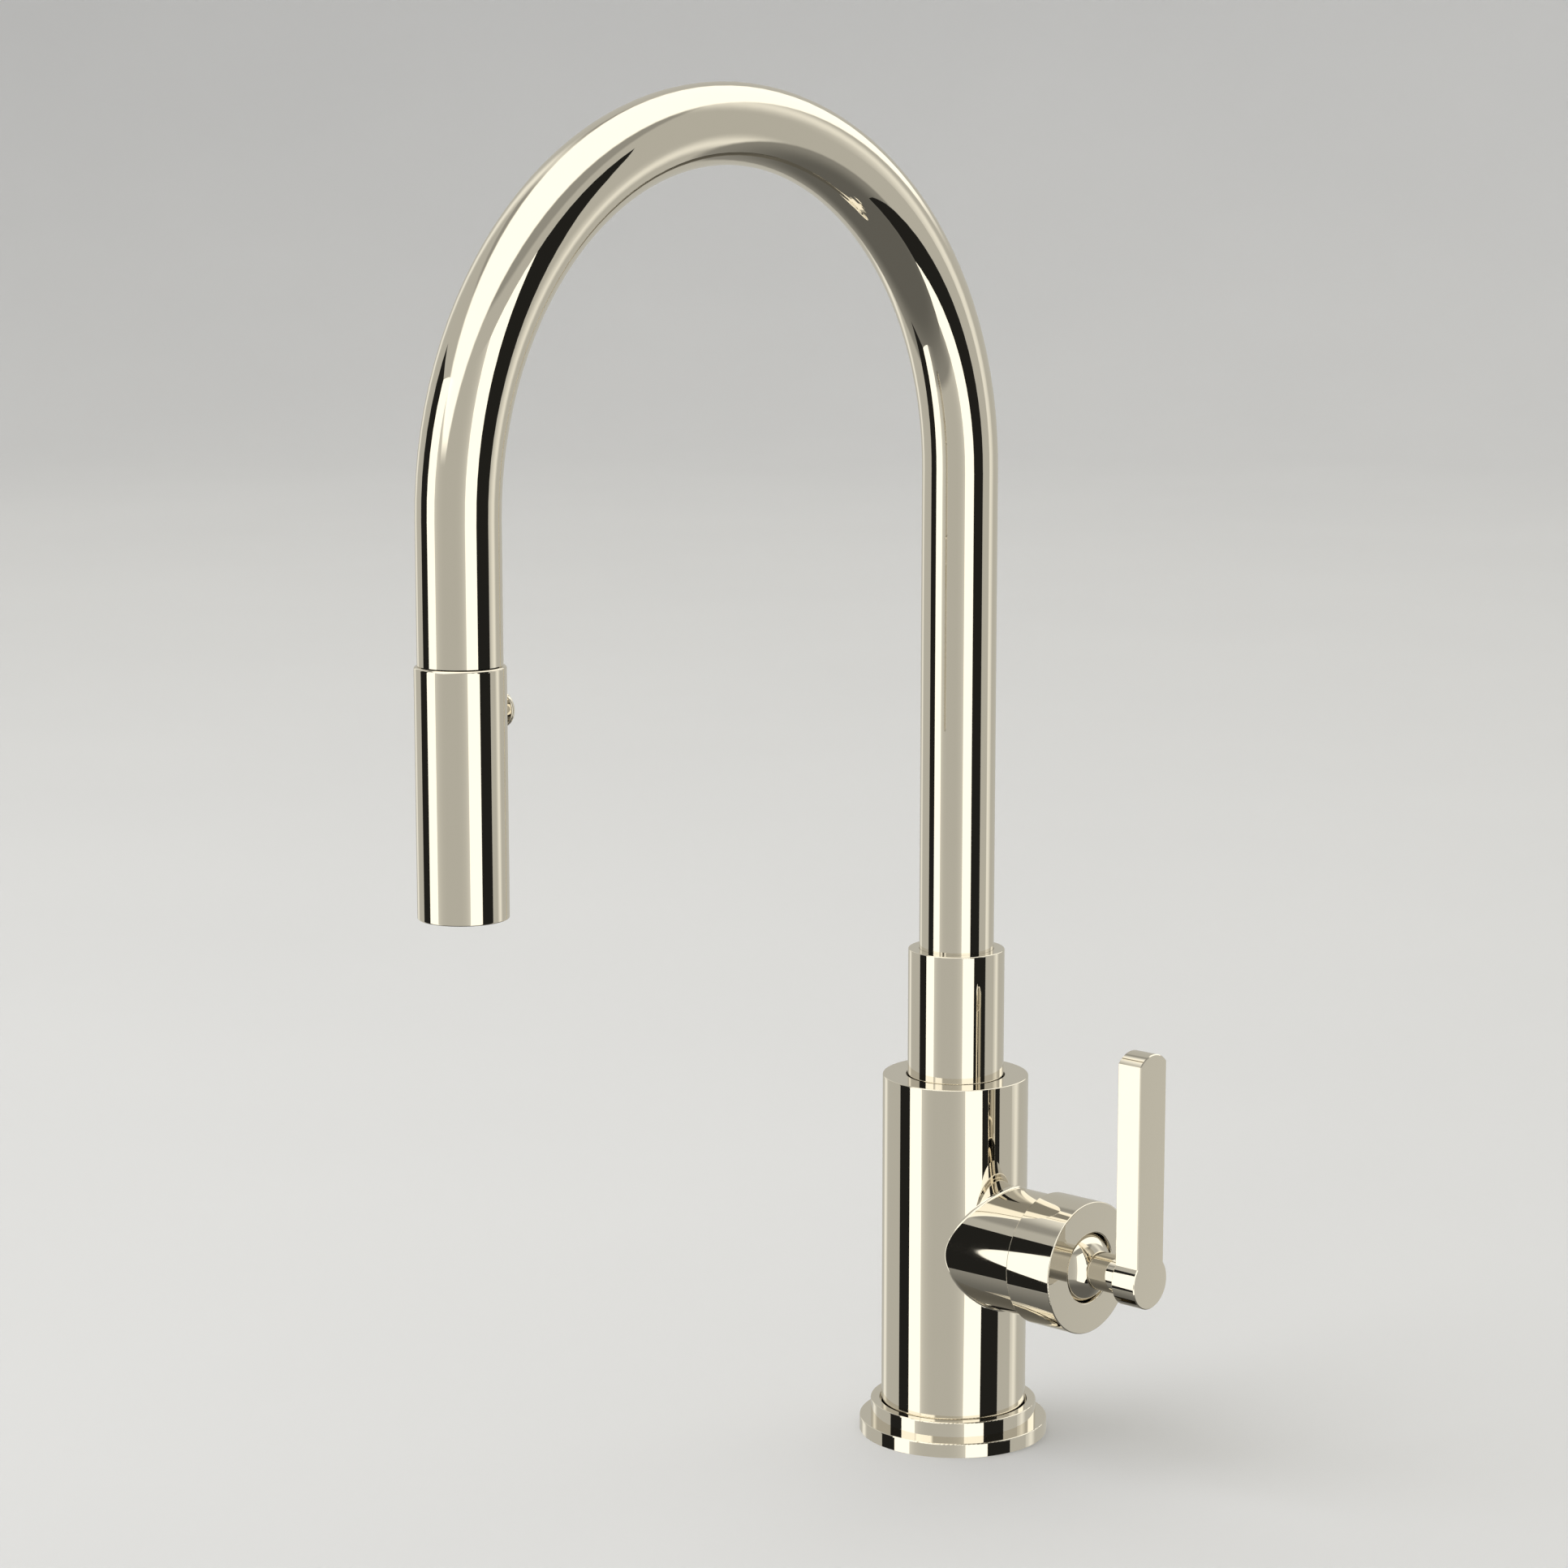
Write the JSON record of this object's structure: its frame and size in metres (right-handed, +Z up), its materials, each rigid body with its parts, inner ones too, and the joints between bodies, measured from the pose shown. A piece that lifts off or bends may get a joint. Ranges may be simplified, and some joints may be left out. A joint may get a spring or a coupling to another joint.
{
  "type": "pull-down kitchen faucet",
  "caption": "Single-lever kitchen faucet: high arched swivel spout, pull-down spray wand on a hose with a push button, and a side lever that tilts for flow and turns for temperature.",
  "frame": {"origin": "centre of the deck hole, on the deck's top surface, at the base flange's underside", "axes": "+Z up along the body and shank; -Y towards the spout's outlet with the spout at rest; +X along the valve axis towards the lever"},
  "size_m": [0.1167, 0.274, 0.5536],
  "materials": {
    "polished_nickel": "polished, warm nickel plating",
    "brass": "machined",
    "stainless_steel": "satin",
    "black_rubber": "matt",
    "grey_silicone": "soft matt",
    "white_acetal": "moulded, satin",
    "dark_plastic": "moulded, fine grain",
    "ceramic": "lapped white alumina",
    "hose_braid": "tight nylon braid"
  },
  "bodies": {
    "base": {"base_flange": "polished_nickel", "base_gasket": "black_rubber", "mixer_body": "polished_nickel", "mounting_shank": "brass", "deck_seal": "black_rubber", "deck_washer": "stainless_steel", "mounting_nut": "brass", "lock_screws": "stainless_steel", "cartridge_housing": "white_acetal", "inlet_seals": "black_rubber", "fixed_ceramic_disc": "ceramic", "cartridge_nut": "brass", "valve_cap": "polished_nickel", "ball_wiper": "black_rubber", "upper_bush": "white_acetal", "lower_bush": "white_acetal"},
    "carrier": {"cartridge_carrier": "white_acetal", "pivot_pin": "stainless_steel"},
    "lever": {"lever_ball": "polished_nickel", "lever_handle": "polished_nickel", "handle_screw": "stainless_steel"},
    "sliding_disc": {"moving_ceramic_disc": "ceramic", "disc_driver": "white_acetal"},
    "spout": {"spout_tube": "polished_nickel", "spout_collar": "polished_nickel", "swivel_stem": "brass", "swivel_o_rings": "black_rubber", "retaining_ring": "stainless_steel", "dock_bush": "dark_plastic", "dock_magnet": "stainless_steel", "spray_hose": "hose_braid", "hose_plug": "brass"},
    "hose_end": {"hose_nut": "brass", "hose_ferrule": "stainless_steel", "hose_tail": "hose_braid"},
    "wand": {"wand_shell": "polished_nickel", "wand_core": "dark_plastic", "hose_washer": "black_rubber", "catch_ring": "stainless_steel", "core_o_ring": "black_rubber", "check_valve_cage": "white_acetal", "check_spring": "stainless_steel", "button_spring": "stainless_steel", "spray_face": "dark_plastic", "nozzle_pad": "grey_silicone", "aerator": "dark_plastic", "aerator_screen": "stainless_steel", "flow_regulator": "black_rubber"},
    "button": {"spray_button": "polished_nickel", "button_plunger": "white_acetal", "diverter_spool": "brass", "spool_seals": "black_rubber"},
    "check_poppet": {"check_poppet": "white_acetal"}
  },
  "joints": [
    {"name": "spout_swivel", "type": "hinge", "parent": "base", "child": "spout", "pos_m": [0, 0, 0.11], "axis": [0, 0, 1], "continuous": true},
    {"name": "wand_pull", "type": "slide", "parent": "spout", "child": "hose_end", "axis": [0, 0, -1], "range_m": [0, 0.2], "deforming": ["hose_tail"]},
    {"name": "wand_swivel", "type": "hinge", "parent": "hose_end", "child": "wand", "pos_m": [0, -0.228, 0.297], "axis": [0, 0, 1], "continuous": true},
    {"name": "button_press", "type": "slide", "parent": "wand", "child": "button", "axis": [0, -1, 0], "range_m": [0, 0.001], "stiffness_N_per_m": 700, "springref_m": -0.002, "deforming": ["button_spring"]},
    {"name": "check_open", "type": "slide", "parent": "wand", "child": "check_poppet", "axis": [0, 0, -1], "range_m": [0, 0.0015], "stiffness_N_per_m": 40, "springref_m": -0.001, "deforming": ["check_spring"]},
    {"name": "temperature_turn", "type": "hinge", "parent": "base", "child": "carrier", "pos_m": [0.0515, 0, 0.0691], "axis": [1, 0, 0], "range_deg": [-50, 50]},
    {"name": "flow_tilt", "type": "hinge", "parent": "carrier", "child": "lever", "pos_m": [0.0515, 0, 0.0691], "axis": [0, 1, 0], "range_deg": [0, 25]},
    {"name": "disc_slide", "type": "slide", "parent": "carrier", "child": "sliding_disc", "axis": [0, 0, 1], "range_m": [0, 0.00572]}
  ],
  "couplings": [
    {"joint": "disc_slide", "follows": "flow_tilt", "m_per_rad": 0.0131}
  ]
}
